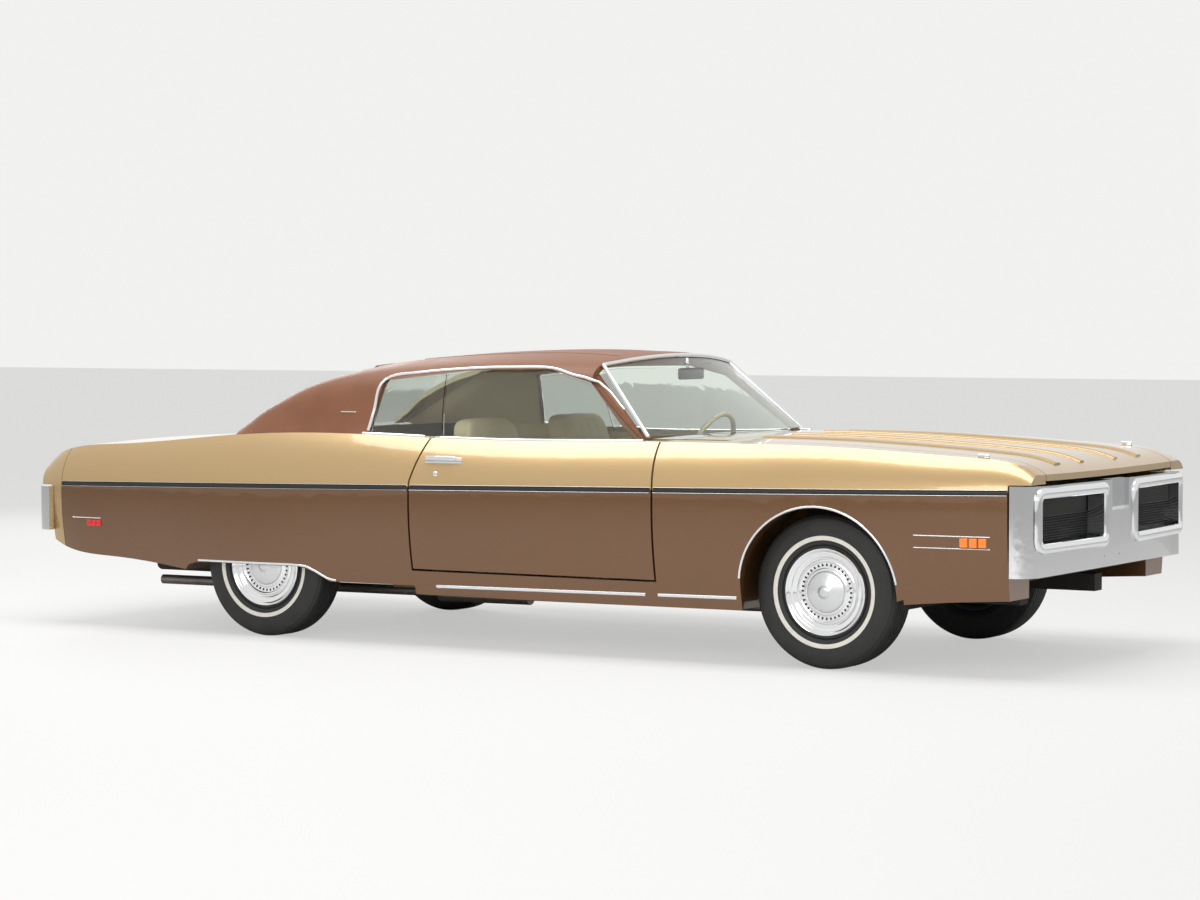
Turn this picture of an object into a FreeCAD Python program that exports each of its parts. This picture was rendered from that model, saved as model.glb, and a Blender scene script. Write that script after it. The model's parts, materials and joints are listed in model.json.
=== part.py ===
import FreeCAD, Part
import math
import os

# A full-size two-door hardtop coupe, in millimetres.
# +X is forward, +Y is the car's left, +Z is up.
# The origin is on the ground, under the middle of the car's box.

V = FreeCAD.Vector

# ---------------------------------------------------------------- driving sizes

length = 5517.0
wheelbase = 3048.0
front_overhang = 1040.0
half_width = 1004.0
roof_height = 1402.0

tyre_radius = 345.0
tyre_half_width = 102.0
rim_radius = 190.5
rim_half_width = 80.0
rim_lip = 14.0
front_track = 1577.0
rear_track = 1610.0
spindle_radius = 20.0
running_clearance = 0.05
kingpin_radius = 25.0
kingpin_inset = 60.0

panel_gap = 6.0
door_gap = 10.0
swing_gap = 18.0
glass_thickness = 6.0
lid_thickness = 28.0
sheet = 25.0

sill_bottom = 250.0
sill_top = 372.0
floor_top = 285.0
cabin_half_width = 790.0
boot_half_width = 640.0
bay_half_width = 690.0
hood_half_width = 742.0
trunk_lid_half_width = 700.0
tunnel_half_width = 170.0
tunnel_top = 480.0
gearbox_hole = 135.0

front_arch_radius = 378.0
front_well_radius = 410.0
front_skin = 70.0
rear_well_radius = 385.0
rear_well_inner = 680.0
rear_well_outer = 921.0
rear_lip_height = 357.0
axle_hole_radius = 70.0

# ---------------------------------------------------------------- derived places

nose = length / 2
tail = -length / 2
front_axle = nose - front_overhang
rear_axle_x = front_axle - wheelbase
wheel_z = tyre_radius
front_wheel_y = front_track / 2
rear_wheel_y = rear_track / 2
kingpin_y = front_wheel_y - kingpin_inset

body_nose = nose - 46.5
body_tail = tail + 42.0
tail_joint = body_tail + 152.0
door_front = front_axle - 845.0
door_front_low = front_axle - 815.0
door_rear = front_axle - 2085.0
door_rear_low = front_axle - 2125.0
hood_rear = front_axle - 570.0
hood_front = nose - 36.0
firewall = door_front - 20.0
header = front_axle - 1290.0
trunk_front = front_axle - 3318.0
trunk_rear = tail_joint + 15.0
seat_back_wall = rear_axle_x + 130.0
bumper_back = nose - 104.0
bumper_wrap = nose - 140.0
bumper_top = 838.0


# ---------------------------------------------------------------- small helpers

def smooth_value(stations, x):
    """The value at x of a smooth line through (x, value) stations, in rising x."""
    if x <= stations[0][0]:
        return stations[0][1]
    for i in range(len(stations) - 1):
        x0, v0 = stations[i]
        x1, v1 = stations[i + 1]
        if x <= x1:
            slope_in = slope_at(stations, i)
            slope_out = slope_at(stations, i + 1)
            t = (x - x0) / (x1 - x0)
            span = x1 - x0
            a = (2 * t ** 3 - 3 * t ** 2 + 1) * v0 + (t ** 3 - 2 * t ** 2 + t) * span * slope_in
            b = (3 * t ** 2 - 2 * t ** 3) * v1 + (t ** 3 - t ** 2) * span * slope_out
            return a + b
    return stations[-1][1]


def slope_at(stations, i):
    """The slope that a smooth line takes at station i."""
    low = max(i - 1, 0)
    high = min(i + 1, len(stations) - 1)
    return (stations[high][1] - stations[low][1]) / (stations[high][0] - stations[low][0])


def box(x0, x1, y0, y1, z0, z1):
    """A box between two corners."""
    return Part.makeBox(x1 - x0, y1 - y0, z1 - z0, V(x0, y0, z0))


def cylinder(radius, start, end):
    """A round bar from start to end."""
    axis = end.sub(start)
    return Part.makeCylinder(radius, axis.Length, start, axis)


def side_prism(points, y0, y1):
    """An outline of (x, z) corners, carried across the car from y0 to y1."""
    corners = [V(x, y0, z) for x, z in points]
    face = Part.Face(Part.makePolygon(corners + corners[:1]))
    return face.extrude(V(0, y1 - y0, 0))


def end_prism(points, x0, x1):
    """An outline of (y, z) corners, carried along the car from x0 to x1."""
    corners = [V(x0, y, z) for y, z in points]
    face = Part.Face(Part.makePolygon(corners + corners[:1]))
    return face.extrude(V(x1 - x0, 0, 0))


def plan_prism(points, z0, z1):
    """An outline of (x, y) corners, carried up from z0 to z1."""
    corners = [V(x, y, z0) for x, y in points]
    face = Part.Face(Part.makePolygon(corners + corners[:1]))
    return face.extrude(V(0, 0, z1 - z0))


def spline_edge(points):
    """A smooth edge through the points."""
    curve = Part.BSplineCurve()
    curve.interpolate(points)
    return curve.toShape()


def mirrored(shape):
    """The same piece on the other side of the car."""
    return shape.mirror(V(0, 0, 0), V(0, 1, 0))


def fuse_all(shapes):
    """One solid from several that overlap."""
    whole = shapes[0]
    for other in shapes[1:]:
        whole = whole.fuse(other)
    return whole.removeSplitter()


def biggest(shape):
    """The largest solid of a shape, without the crumbs that a cut can leave."""
    return max(shape.Solids, key=lambda solid: solid.Volume)


nodes = {}


def keep(name, *solids):
    """Adds a node of one or more solids."""
    nodes[name] = Part.makeCompound(list(solids)) if len(solids) > 1 else solids[0]


# ---------------------------------------------------------------- the lines of the body

from_tail = body_tail
from_nose = body_nose

# The side moulding is the widest line of the body.
moulding_z = [
    (from_tail, 716), (rear_axle_x + 944, 764), (front_axle - 815, 790), (from_nose, 812),
]
moulding_y = [
    (from_tail, half_width - 104), (tail_joint, half_width - 66), (rear_axle_x - 600, half_width - 30),
    (rear_axle_x, half_width - 11), (rear_axle_x + 1000, half_width), (front_axle - 700, half_width),
    (front_axle, half_width - 16), (front_axle + 600, half_width - 42), (from_nose, half_width - 84),
]
# The shoulder is the crease along the top of the body's side.
shoulder_z = [
    (from_tail, 812), (from_tail + 56, 858), (tail_joint, 893), (rear_axle_x - 612, 945),
    (rear_axle_x - 60, 990), (rear_axle_x + 430, 1000), (rear_axle_x + 980, 985), (door_front - 500, 985),
    (door_front, 993), (front_axle, 989), (front_axle + 370, 973), (front_axle + 750, 951),
    (from_nose - 98, 932), (from_nose, 886),
]
shoulder_y = [
    (from_tail, half_width - 170), (tail_joint, half_width - 150), (rear_axle_x - 600, half_width - 130),
    (rear_axle_x, half_width - 132), (rear_axle_x + 1000, half_width - 136), (door_front, half_width - 132),
    (front_axle, half_width - 124), (front_axle + 600, half_width - 138), (from_nose, half_width - 160),
]
centre_z = [
    (from_tail, 824), (tail_joint, 905), (rear_axle_x - 612, 957), (rear_axle_x - 60, 1000),
    (rear_axle_x + 430, 1010), (door_front - 500, 1000), (door_front, 1010), (hood_rear, 1014),
    (front_axle, 1006), (front_axle + 370, 988), (front_axle + 750, 960), (from_nose - 98, 930), (from_nose, 880),
]
lower_z = [
    (from_tail, 470), (tail_joint, 400), (rear_axle_x - 500, 322), (rear_axle_x, 262),
    (rear_axle_x + 500, sill_bottom), (front_axle - 500, sill_bottom), (front_axle, 262),
    (front_axle + 500, 320), (from_nose, 350),
]
lower_y = [
    (from_tail, half_width - 130), (tail_joint, half_width - 96), (rear_axle_x - 500, half_width - 66),
    (rear_axle_x, half_width - 42), (rear_axle_x + 500, half_width - 64), (front_axle - 500, half_width - 64),
    (front_axle, half_width - 62), (front_axle + 600, half_width - 84), (from_nose, half_width - 116),
]


def body_section(x):
    """The outline of the lower body across the car at x."""
    ym = smooth_value(moulding_y, x)
    zm = smooth_value(moulding_z, x)
    ys = smooth_value(shoulder_y, x)
    zs = smooth_value(shoulder_z, x)
    yl = smooth_value(lower_y, x)
    zl = smooth_value(lower_z, x)
    zc = smooth_value(centre_z, x)
    side_bulge = 16.0
    belly = (ym - (ym - yl) * 0.22, zl + (zm - zl) * 0.45)
    waist = ((ym + ys) / 2 + side_bulge, (zm + zs) / 2 + side_bulge * 0.6)
    crown = (ys * 0.55, zs + (zc - zs) * 0.72)
    edges = [
        Part.makeLine(V(x, -yl, zl), V(x, yl, zl)),
        spline_edge([V(x, yl, zl), V(x, belly[0], belly[1]), V(x, ym, zm)]),
        spline_edge([V(x, ym, zm), V(x, waist[0], waist[1]), V(x, ys, zs)]),
        spline_edge([V(x, ys, zs), V(x, crown[0], crown[1]), V(x, 0, zc), V(x, -crown[0], crown[1]), V(x, -ys, zs)]),
        spline_edge([V(x, -ys, zs), V(x, -waist[0], waist[1]), V(x, -ym, zm)]),
        spline_edge([V(x, -ym, zm), V(x, -belly[0], belly[1]), V(x, -yl, zl)]),
    ]
    return Part.Wire(edges)


body_stations = [
    body_tail, body_tail + 56, tail_joint, rear_axle_x - 900, rear_axle_x - 560, rear_axle_x, rear_axle_x + 560,
    rear_axle_x + 1100, door_front - 450, door_front, hood_rear + 120, front_axle, front_axle + 370,
    front_axle + 700, body_nose - 98, body_nose,
]
body_outer = Part.makeLoft([body_section(x) for x in body_stations], True, False)

# ---------------------------------------------------------------- the lines of the roof

rail_z = [
    (rear_axle_x - 231, 1005), (rear_axle_x - 66, 1120), (rear_axle_x + 123, 1212), (rear_axle_x + 420, 1276),
    (rear_axle_x + 620, 1290), (rear_axle_x + 1100, 1316), (header - 250, 1324), (header + 20, 1326),
    (header + 100, 1318),
]
rail_y = [
    (rear_axle_x - 231, 770), (rear_axle_x - 66, 722), (rear_axle_x + 123, 690), (rear_axle_x + 420, 676),
    (rear_axle_x + 620, 680), (rear_axle_x + 1100, 684), (header - 250, 676), (header + 20, 652), (header + 100, 636),
]
roof_z = [
    (rear_axle_x - 231, 1030), (rear_axle_x - 66, 1152), (rear_axle_x + 123, 1250), (rear_axle_x + 420, 1338),
    (rear_axle_x + 620, 1366), (rear_axle_x + 1100, roof_height - 6), (header - 360, roof_height),
    (header - 100, roof_height - 10), (header + 20, roof_height - 24), (header + 100, roof_height - 42),
]
pillar_foot_y = [
    (rear_axle_x - 231, 842), (rear_axle_x + 600, 850), (header + 100, 838),
]
pillar_foot_z = 960.0
roof_wall = 34.0


def roof_section(x, inset):
    """The outline of the roof and pillars across the car at x, drawn in by inset."""
    yf = smooth_value(pillar_foot_y, x) - inset
    yr = smooth_value(rail_y, x) - inset
    zr = smooth_value(rail_z, x) - inset * 0.4
    zt = smooth_value(roof_z, x) - inset
    middle = (yf + (yr - yf) * 0.46, pillar_foot_z + (zr - pillar_foot_z) * 0.5)
    shoulder = (yr - (yr * 0.12), zr + (zt - zr) * 0.46)
    quarter = (yr * 0.5, zr + (zt - zr) * 0.86)
    half = [(yf, pillar_foot_z), middle, (yr, zr), shoulder, quarter]
    left = [V(x, y, z) for y, z in half]
    right = [V(x, -y, z) for y, z in reversed(half)]
    arch = spline_edge(left + [V(x, 0, zt)] + right)
    return Part.Wire([arch, Part.makeLine(right[-1], left[0])])


roof_stations = [x for x, z in roof_z]
roof_outer = Part.makeLoft([roof_section(x, 0.0) for x in roof_stations], True, False)
roof_inner = Part.makeLoft([roof_section(x, roof_wall) for x in roof_stations], True, False)

# The glass of the screens: two bowed edges each, corner and centre.
screen_low_corner = (front_axle - 962.0, 770.0, 1012.0)
screen_low_centre = (front_axle - 826.0, 1012.0)
screen_top_corner = (header, 616.0, 1334.0)
screen_top_centre = (header + 70.0, 1372.0)
backlight_low_corner = (rear_axle_x - 150.0, 580.0, 1006.0)
backlight_low_centre = (rear_axle_x - 222.0, 1006.0)
backlight_top_corner = (rear_axle_x + 420.0, 530.0, 1322.0)
backlight_top_centre = (rear_axle_x + 395.0, 1338.0)


def bowed_band(corner, centre, inward, thickness, widen):
    """A thin closed band along a bowed edge, which one end of a screen's glass fills."""
    x, y, z = corner
    cx, cz = centre
    y = y + widen
    bow = V(cx - x, 0, cz - z)
    if bow.Length < 1:
        bow = V(1, 0, 0)
    bow.normalize()
    step = bow.multiply(inward * thickness)
    outer = Part.Arc(V(x, -y, z), V(cx, 0, cz), V(x, y, z)).toShape()
    inner = Part.Arc(V(x, y, z).add(step), V(cx, 0, cz).add(step), V(x, -y, z).add(step)).toShape()
    right = Part.makeLine(V(x, y, z), V(x, y, z).add(step))
    left = Part.makeLine(V(x, -y, z).add(step), V(x, -y, z))
    return Part.Wire([outer, right, inner, left])


def screen(low_corner, low_centre, top_corner, top_centre, inward, thickness=glass_thickness, widen=0.0):
    """The glass of a windscreen or a rear window."""
    low = bowed_band(low_corner, low_centre, inward, thickness, widen)
    top = bowed_band(top_corner, top_centre, inward, thickness, widen)
    return Part.makeLoft([low, top], True, True)


windshield = screen(screen_low_corner, screen_low_centre, screen_top_corner, screen_top_centre, -1)
rear_window = screen(backlight_low_corner, backlight_low_centre, backlight_top_corner, backlight_top_centre, -1)

# The side glass leans in towards the roof.
glass_foot = (818.0, 940.0)
glass_middle = (764.0, 1130.0)
glass_head = (664.0, 1330.0)
pocket = 3.0
glass_clearance = 8.0


def side_glass_slab(extra):
    """A long leaning sheet on the left, which the door and quarter glass are cut from."""
    outer = [(glass_foot[0] + extra, glass_foot[1] - extra * 4), (glass_middle[0] + extra, glass_middle[1])]
    outer.append((glass_head[0] + extra, glass_head[1]))
    inner = [(y - glass_thickness - 2 * extra, z) for y, z in reversed(outer)]
    x0 = rear_axle_x + 300
    first = spline_edge([V(x0, y, z) for y, z in outer])
    second = spline_edge([V(x0, y, z) for y, z in inner])
    ends = [
        Part.makeLine(V(x0, outer[-1][0], outer[-1][1]), V(x0, inner[0][0], inner[0][1])),
        Part.makeLine(V(x0, inner[-1][0], inner[-1][1]), V(x0, outer[0][0], outer[0][1])),
    ]
    face = Part.Face(Part.Wire([first, ends[0], second, ends[1]]))
    return face.extrude(V(header + 700 - x0, 0, 0))


window_foot = glass_foot[1]
split_top = (front_axle - 2112.0, 1296.0)
split_low = (front_axle - 2056.0, window_foot)
window_top_rear = (front_axle - 2448.0, 1246.0)
window_top_middle = (front_axle - 1954.0, 1300.0)
window_top_front = (front_axle - 1540.0, 1306.0)
window_pillar_middle = (front_axle - 1280.0, 1240.0)
window_pillar_foot = (front_axle - 985.0, 1000.0)
window_low_front = (front_axle - 912.0, window_foot)
window_rear_foot = (front_axle - 2478.0, 1010.0)
window_low_rear = (front_axle - 2478.0, window_foot)

window_outline = [
    window_low_rear, window_rear_foot, window_top_rear, window_top_middle, window_top_front,
    window_pillar_middle, window_pillar_foot, window_low_front,
]


def grown(points, by):
    """The outline of (x, z) corners, pushed out from its middle line by a gap."""
    wire = Part.makePolygon([V(x, 0, z) for x, z in points + points[:1]])
    wider = wire.makeOffset2D(by, 2)
    return Part.Face(wider)


def door_glass_outline():
    """The corners of the door's glass, seen from the side."""
    half_gap = door_gap / 2
    return [
        (split_low[0] + half_gap, split_low[1]), (split_top[0] + half_gap, split_top[1] - 12), window_top_middle,
        window_top_front, window_pillar_middle, window_pillar_foot, window_low_front,
    ]


def quarter_glass_outline():
    """The corners of the quarter glass, seen from the side."""
    half_gap = door_gap / 2
    return [
        window_low_rear, window_rear_foot, window_top_rear,
        (split_top[0] - half_gap, split_top[1] - 12), (split_low[0] - half_gap, split_low[1]),
    ]


glass_slab = side_glass_slab(0.0)
door_glass = biggest(glass_slab.common(side_prism(door_glass_outline(), 0, half_width)))
quarter_glass = biggest(glass_slab.common(side_prism(quarter_glass_outline(), 0, half_width)))

# ---------------------------------------------------------------- roof, pillars, screens

window_hole = grown(window_outline, door_gap)
window_hole.translate(V(0, -half_width, 0))
window_hole = window_hole.extrude(V(0, 2 * half_width, 0))

front_of_header = plan_prism(
    [(header - 8, -1000), (header - 8, -screen_top_corner[1] - 60), (screen_top_centre[0] - 8, -180),
     (screen_top_centre[0] - 8, 180), (header - 8, screen_top_corner[1] + 60), (header - 8, 1000),
     (header + 400, 1000), (header + 400, -1000)],
    900, 1500,
)
backlight_hole = plan_prism(
    [(backlight_low_centre[0] - 60, -backlight_low_corner[1] - 4),
     (backlight_top_centre[0], -backlight_top_corner[1] - 4),
     (backlight_top_centre[0], backlight_top_corner[1] + 4),
     (backlight_low_centre[0] - 60, backlight_low_corner[1] + 4)],
    960, 1500,
)


def front_pillar():
    """The left windscreen pillar, from its foot on the hinge post up into the roof."""
    depth = 52.0
    width = 34.0
    foot = V(screen_low_corner[0] - 12, screen_low_corner[1] + 2, 1000)
    head = V(header - 45, screen_top_corner[1] + 2, 1322)
    quads = []
    for corner in (foot, head):
        points = [corner, corner.add(V(0, width, -6)), corner.add(V(-depth, width, -6)), corner.add(V(-depth, 0, 0))]
        quads.append(Part.makePolygon(points + points[:1]))
    return Part.makeLoft(quads, True, True)


roof = roof_outer.cut(roof_inner)
roof = roof.cut(window_hole)
roof = roof.cut(front_of_header)
roof = roof.cut(backlight_hole)
roof = roof.cut(body_outer)
roof = biggest(roof)
left_pillar = front_pillar().cut(side_glass_slab(glass_clearance))
roof = fuse_all([roof, left_pillar, mirrored(left_pillar)])
roof = roof.cut(windshield).cut(rear_window)
keep("roof", biggest(roof))
keep("windshield", windshield)
keep("rear_window", rear_window)

# ---------------------------------------------------------------- hood and trunk lid

under_lids = body_outer.copy()
under_lids.translate(V(0, 0, -lid_thickness))
hood_block = box(hood_rear, hood_front, -hood_half_width, hood_half_width, 700, 1200)
hood = biggest(body_outer.common(hood_block).cut(under_lids))
hood_trim = box(bumper_back - 30, nose, -half_width, half_width, 0, bumper_top + panel_gap)
hood = biggest(hood.cut(hood_trim))
keep("hood", hood)

trunk_block = box(trunk_rear, trunk_front, -trunk_lid_half_width, trunk_lid_half_width, 700, 1200)
trunk_lid = biggest(body_outer.common(trunk_block).cut(under_lids))
keep("trunk_lid", trunk_lid)

# ---------------------------------------------------------------- doors

moulding_height = 790.0
door_outline = [
    (door_front, 1100), (door_front, 990), (door_front_low, moulding_height), (door_front_low, sill_top),
    (door_rear_low, sill_top), (door_rear_low, moulding_height), (door_rear, 990), (door_rear, 1100),
]
door_prism = side_prism(door_outline, cabin_half_width + 12, 1100)
door_hole = grown(door_outline, door_gap)
door_hole = door_hole.extrude(V(0, 1200, 0))
door = biggest(body_outer.common(door_prism))
rear_step = side_prism(
    [(door_rear_low - 50, 200), (door_rear_low + swing_gap, 200), (door_rear_low + swing_gap, moulding_height),
     (door_rear + swing_gap, 1100), (door_rear_low - 50, 1100)],
    0, half_width - 160,
)
door = biggest(door.cut(rear_step))
door = biggest(door.cut(side_glass_slab(pocket)))
keep("door_left", door)
keep("door_right", mirrored(door))
keep("door_glass_left", door_glass)
keep("door_glass_right", mirrored(door_glass))

# ---------------------------------------------------------------- fenders, quarters, rockers

cabin_space = box(seat_back_wall, door_front + 400, -cabin_half_width, cabin_half_width, 0, 1600)


def well(radius, axle, y0, y1, depth_below=500.0):
    """The round-topped room of one wheel, open below."""
    round_top = cylinder(radius, V(axle, y0, wheel_z), V(axle, y1, wheel_z))
    below = box(axle - radius, axle + radius, y0, y1, wheel_z - depth_below, wheel_z)
    return round_top.fuse(below)


front_skin_y = half_width - front_skin
fender_block = box(firewall + 30, body_nose, bay_half_width, half_width + 10, 0, 1200)
fender = body_outer.common(fender_block)
fender = fender.cut(grown(door_outline, 0).extrude(V(0, 1200, 0)))
fender = fender.cut(door_hole)
fender = fender.cut(box(0, nose, 0, hood_half_width + panel_gap, bumper_top, 1200))
fender = fender.cut(well(front_well_radius, front_axle, 0, front_skin_y))
fender = fender.cut(well(front_arch_radius, front_axle, 0, half_width + 10))
fender = fender.cut(box(bumper_wrap - panel_gap, nose, 0, half_width + 10, 0, bumper_top + panel_gap))
fender = biggest(fender)
keep("front_fender_left", fender)
keep("front_fender_right", mirrored(fender))

lip_front = rear_axle_x + 265.0
lip_low = rear_axle_x + 420.0
lip_back = rear_axle_x - 420.0
rear_opening = side_prism(
    [(lip_low + 40, 0), (lip_low + 40, 272), (lip_low, 297), (lip_low - 74, 336), (lip_front, rear_lip_height),
     (lip_back + 60, rear_lip_height), (lip_back, 340), (lip_back - 40, 300), (lip_back - 40, 0)],
    0, half_width + 10,
)
quarter_block = box(tail_joint + 3, door_rear + 60, boot_half_width, half_width + 10, 0, 1200)
quarter = body_outer.common(quarter_block)
quarter = quarter.cut(grown(door_outline, 0).extrude(V(0, 1200, 0)))
quarter = quarter.cut(door_hole)
quarter = quarter.cut(cabin_space)
quarter = quarter.cut(box(trunk_rear - panel_gap - 10, trunk_front + panel_gap, 0, trunk_lid_half_width + panel_gap, 820, 1200))
quarter = quarter.cut(well(rear_well_radius, rear_axle_x, rear_well_inner, rear_well_outer))
quarter = quarter.cut(rear_opening)
quarter = quarter.cut(cylinder(axle_hole_radius, V(rear_axle_x, 0, wheel_z), V(rear_axle_x, rear_well_outer, wheel_z)))
quarter = quarter.cut(side_glass_slab(pocket))
quarter = quarter.cut(box(seat_back_wall - 300, door_rear + 60, 0, half_width + 10, 0, sill_bottom + 40))
quarter = biggest(quarter)
keep("quarter_panel_left", quarter)
keep("quarter_panel_right", mirrored(quarter))
keep("quarter_windows", quarter_glass, mirrored(quarter_glass))

rocker_inner = 750.0
rocker = body_outer.common(box(door_rear_low - 4, firewall + 30, rocker_inner, half_width + 10, 0, sill_top - door_gap))
rocker = rocker.cut(fender).cut(quarter)
rocker = biggest(rocker.cut(box(door_rear_low - 60, door_rear_low - 4, 0, 1200, 0, 600)))
keep("rocker_panels", rocker, mirrored(rocker))

# ---------------------------------------------------------------- cowl, firewall, shelf, tail

cowl_top = body_outer.common(box(screen_low_corner[0] - 20, hood_rear - panel_gap, -bay_half_width, bay_half_width, 900, 1200))
cowl_top = biggest(cowl_top.cut(under_lids))
firewall_plate = box(firewall, firewall + sheet, -bay_half_width, bay_half_width, floor_top, 985)
post_clearance = 16.0
hinge_post = box(firewall - 90, firewall + sheet, bay_half_width - 4, cabin_half_width - post_clearance, floor_top, 975)
cowl = fuse_all([cowl_top, firewall_plate, hinge_post, mirrored(hinge_post)])
cowl = cowl.cut(box(firewall - 5, firewall + sheet + 5, -gearbox_hole, gearbox_hole, 200, tunnel_top - sheet))
cowl = cowl.cut(rocker).cut(mirrored(rocker)).cut(windshield).cut(nodes["roof"]).cut(hood).cut(fender).cut(mirrored(fender)).cut(door).cut(mirrored(door))
keep("cowl", biggest(cowl))

shelf = body_outer.common(
    box(trunk_front + panel_gap, seat_back_wall, -boot_half_width + 2, boot_half_width - 2, 940, 1200)
)
shelf = shelf.cut(rear_window).cut(nodes["roof"])
keep("rear_shelf", biggest(shelf))

tail_block = body_outer.common(box(body_tail - 10, tail_joint, -half_width, half_width, 0, 1200))
tail_space = box(tail_joint - 70, tail_joint + 10, -boot_half_width, boot_half_width, 430, 800)
tail_panel = tail_block.cut(tail_space)

bumper_plan = [
    (tail + 26, 0), (tail + 28, 500), (tail + 36, 800), (tail + 62, 905), (tail + 110, 948), (tail + 160, 962),
]


def rear_bumper_shape():
    """The rear bumper: a bowed bar that turns round the corners, with a lamp slot on each side."""
    bar_low = 482.0
    bar_top = 702.0
    bow = [V(x - 26, y, bar_low) for x, y in bumper_plan]
    right = [V(p.x, -p.y, p.z) for p in reversed(bow)][:-1]
    outer = spline_edge(right + bow)
    inner_x = tail + 118
    corners = [bow[-1], V(bow[-1].x, 930, bar_low), V(inner_x, 900, bar_low)]
    corners += [V(p.x, -p.y, p.z) for p in reversed(corners)]
    lines = [Part.makeLine(corners[i], corners[i + 1]) for i in range(len(corners) - 1)]
    plan = Part.Face(Part.Wire([outer] + lines))
    bar = plan.extrude(V(0, 0, bar_top - bar_low))
    lamp = box(tail - 10, tail + 34, 330, 800, 560, 640)
    return bar.cut(lamp).cut(mirrored(lamp))


rear_bumper = rear_bumper_shape()
plate_spacing = 177.8
plate_hole_radius = 3.3
plate_hole_depth = 20.0
for y in (-plate_spacing / 2, plate_spacing / 2):
    hole = cylinder(plate_hole_radius, V(tail - 5, y, 592), V(tail + 5 + plate_hole_depth, y, 592))
    rear_bumper = rear_bumper.cut(hole)
plate_pad = box(tail - 10, tail + 5, -170, 170, 510, 674)
rear_bumper = biggest(rear_bumper.cut(plate_pad))
keep("rear_bumper", rear_bumper)
tail_panel = tail_panel.cut(box(tail - 10, tail + 118, -half_width, half_width, 0, 708))
tail_panel = biggest(tail_panel.cut(rear_bumper).cut(trunk_lid))
keep("tail_panel", tail_panel)

# ---------------------------------------------------------------- front bumper, grille, radiator support

loop_inner = 100.0
loop_opening_inner = 190.0
loop_opening_outer = 822.0
loop_opening_low = 582.0
loop_opening_top = 790.0
bumper_low = 444.0


def front_bumper_shape():
    """The front bumper: one bar with two large framed openings and a low skirt."""
    bow = [
        V(nose, 0, bumper_low), V(nose - 2, 300, bumper_low), V(nose - 16, 600, bumper_low),
        V(nose - 44, 850, bumper_low), V(nose - 80, 905, bumper_low), V(bumper_wrap, 924, bumper_low),
    ]
    right = [V(p.x, -p.y, p.z) for p in reversed(bow)][:-1]
    outer = spline_edge(right + bow)
    corners = [bow[-1], V(bumper_wrap, 880, bumper_low), V(bumper_back, 850, bumper_low)]
    corners += [V(p.x, -p.y, p.z) for p in reversed(corners)]
    lines = [Part.makeLine(corners[i], corners[i + 1]) for i in range(len(corners) - 1)]
    bar = Part.Face(Part.Wire([outer] + lines)).extrude(V(0, 0, bumper_top - bumper_low))
    opening = box(bumper_back - 20, nose + 10, loop_opening_inner, loop_opening_outer, loop_opening_low, loop_opening_top)
    bridge = box(nose - 50, nose + 10, -loop_inner, loop_inner, 700, bumper_top + 10)
    bar = bar.cut(opening).cut(mirrored(opening)).cut(bridge)
    skirt = box(nose - 40, nose + 10, -half_width, half_width, 0, 548)
    return biggest(bar.cut(skirt))


front_bumper = front_bumper_shape()
front_plate_z = 492.0
for y in (-plate_spacing / 2, plate_spacing / 2):
    hole = cylinder(plate_hole_radius, V(nose, y, front_plate_z), V(nose - 40 - plate_hole_depth, y, front_plate_z))
    front_bumper = front_bumper.cut(hole)
keep("front_bumper", front_bumper)
grille = box(bumper_back - 24, bumper_back, -840, 840, 560, 812)
grille = grille.cut(front_bumper).cut(hood).cut(fender).cut(mirrored(fender))
keep("grille", biggest(grille))

support_x = front_axle + 760.0
radiator_support = box(support_x, support_x + 40, -bay_half_width, bay_half_width, 400, 890)
radiator_support = radiator_support.cut(box(support_x - 5, support_x + 45, -360, 360, 450, 840))
radiator = box(support_x - 30, support_x + 40, -360, 360, 450, 840)
arm_length = bumper_back - 24 - support_x - 40
arm = box(support_x + 40, support_x + 40 + arm_length, 560, 620, 600, 700)
radiator_support = fuse_all([radiator_support, radiator, arm, mirrored(arm)])
keep("radiator_support", radiator_support)

# ---------------------------------------------------------------- floors

half_floor = rocker_inner
floor_low = floor_top - sheet
floor_outline = [
    (-half_floor, floor_low), (-tunnel_half_width, floor_low), (-tunnel_half_width + 30, tunnel_top - sheet),
    (tunnel_half_width - 30, tunnel_top - sheet), (tunnel_half_width, floor_low), (half_floor, floor_low),
    (half_floor, floor_top), (tunnel_half_width + sheet, floor_top), (tunnel_half_width - 30 + sheet, tunnel_top),
    (-tunnel_half_width + 30 - sheet, tunnel_top), (-tunnel_half_width - sheet, floor_top), (-half_floor, floor_top),
]
seat_riser = rear_axle_x + 660.0
floor_pan = end_prism(floor_outline, seat_riser, firewall)
keep("floor_pan", floor_pan)

boot_floor_top = 425.0
over_axle = 560.0
trunk_outline = [
    (seat_riser, floor_low), (seat_riser, 380), (seat_back_wall + 200, 400), (seat_back_wall, over_axle),
    (rear_axle_x - 260, over_axle), (rear_axle_x - 420, boot_floor_top), (tail_joint - 68, boot_floor_top),
    (tail_joint - 68, boot_floor_top - sheet), (rear_axle_x - 430, boot_floor_top - sheet),
    (rear_axle_x - 270, over_axle - sheet), (seat_back_wall - 10, over_axle - sheet),
    (seat_back_wall + 190, 400 - sheet), (seat_riser - sheet, 380 - sheet), (seat_riser - sheet, floor_low),
]
trunk_floor = side_prism(trunk_outline, -boot_half_width, boot_half_width)
trunk_floor = trunk_floor.cut(nodes["tail_panel"])
tunnel_slot = box(rear_axle_x - 150, seat_riser + 5, -150, 150, 200, 455)
trunk_floor = biggest(trunk_floor.cut(tunnel_slot))
keep("trunk_floor", trunk_floor)

# ---------------------------------------------------------------- cabin fittings

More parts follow.
